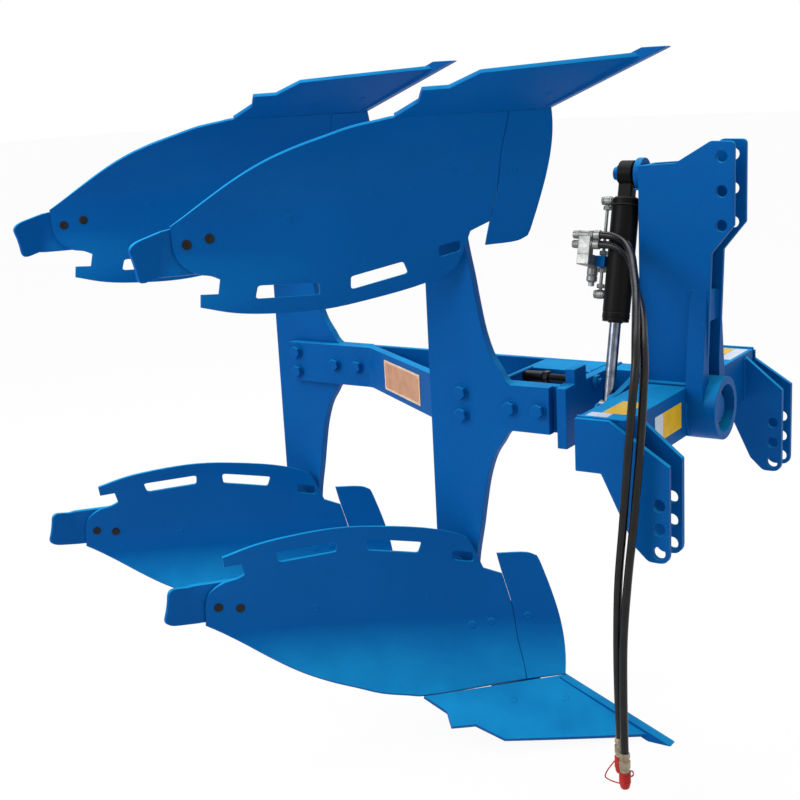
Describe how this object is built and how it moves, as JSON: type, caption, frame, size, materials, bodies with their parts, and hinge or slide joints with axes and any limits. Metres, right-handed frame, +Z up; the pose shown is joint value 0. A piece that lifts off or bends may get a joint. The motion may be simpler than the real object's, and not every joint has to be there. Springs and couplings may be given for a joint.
{
  "type": "reversible plough",
  "caption": "Mounted reversible mouldboard plough with headstock, turnover cylinder, bent beam, legs and curved bodies above and below, each with share, shin and landside",
  "frame": {"origin": "on the ground, under the middle of the plough's own box measured without its hoses", "axes": "+X forward, the way it is pulled; +Y to the driver's left; +Z up"},
  "size_m": [1.8416, 1.1868, 1.64],
  "materials": {
    "blue_paint": "glossy mid blue enamel",
    "black_paint": "satin black enamel",
    "steel": "zinc plated",
    "bright_steel": "bright plated",
    "chrome": "ground and chromed",
    "bronze": "cast bearing bronze",
    "rubber": "matte black cover",
    "coupler_steel": "dull yellowish zinc",
    "red_plastic": "moulded red"
  },
  "bodies": {
    "headstock": {"cross_tube_right": "blue_paint", "cross_tube_left": "blue_paint", "bracket_outer_right": "blue_paint", "bracket_outer_left": "blue_paint", "bracket_inner_right": "blue_paint", "bracket_inner_left": "blue_paint", "hub_housing": "blue_paint", "hub_bush_rear": "bronze", "hub_bush_front": "bronze", "mast_plate_right": "blue_paint", "mast_plate_left": "blue_paint", "mast_spacer": "blue_paint", "mast_rear_plate": "blue_paint", "cylinder_pin": "blue_paint", "hose_near": "rubber", "hose_far": "rubber", "coupler_near": "coupler_steel", "coupler_far": "coupler_steel", "dust_cap_near": "red_plastic", "dust_cap_far": "red_plastic"},
    "cylinder": {"cylinder_barrel": "black_paint", "cylinder_gland": "steel", "valve_block": "blue_paint", "feed_pipe": "steel", "hose_fittings": "bright_steel"},
    "rod": {"piston_rod": "chrome", "crank_pin": "steel"},
    "turnover_frame": {"shaft_nut": "steel", "crank_shaft": "blue_paint", "yoke_box": "blue_paint", "headplate": "blue_paint", "diagonal_beam": "blue_paint", "inner_rail": "blue_paint", "adjuster_spindle": "black_paint", "front_leg": "blue_paint", "rear_leg": "blue_paint", "mouldboard_front_lower": "blue_paint", "shin_front_lower": "blue_paint", "share_front_lower": "blue_paint", "landside_front_lower": "blue_paint", "frog_front_lower": "blue_paint", "tail_piece_front_lower": "blue_paint", "mouldboard_front_upper": "blue_paint", "shin_front_upper": "blue_paint", "share_front_upper": "blue_paint", "landside_front_upper": "blue_paint", "frog_front_upper": "blue_paint", "tail_piece_front_upper": "blue_paint", "mouldboard_rear_lower": "blue_paint", "shin_rear_lower": "blue_paint", "share_rear_lower": "blue_paint", "landside_rear_lower": "blue_paint", "frog_rear_lower": "blue_paint", "tail_piece_rear_lower": "blue_paint", "mouldboard_rear_upper": "blue_paint", "shin_rear_upper": "blue_paint", "share_rear_upper": "blue_paint", "landside_rear_upper": "blue_paint", "frog_rear_upper": "blue_paint", "tail_piece_rear_upper": "blue_paint"}
  },
  "joints": [
    {"name": "turnover", "type": "hinge", "parent": "headstock", "child": "turnover_frame", "pos_m": [0.79284, 0.17838, 0.82], "axis": [-1, 0, 0], "range_deg": [0, 180]},
    {"name": "cylinder_swing", "type": "hinge", "parent": "headstock", "child": "cylinder", "pos_m": [0.65284, 0.17838, 1.36], "axis": [1, 0, 0], "range_deg": [0, 28.7]},
    {"name": "rod_slide", "type": "slide", "parent": "cylinder", "child": "rod", "axis": [0, -0.2476, -0.9689], "range_m": [-0.155, 0]}
  ],
  "couplings": [
    {"joint": "cylinder_swing", "follows": "turnover", "ratio": 0.15928}
  ]
}
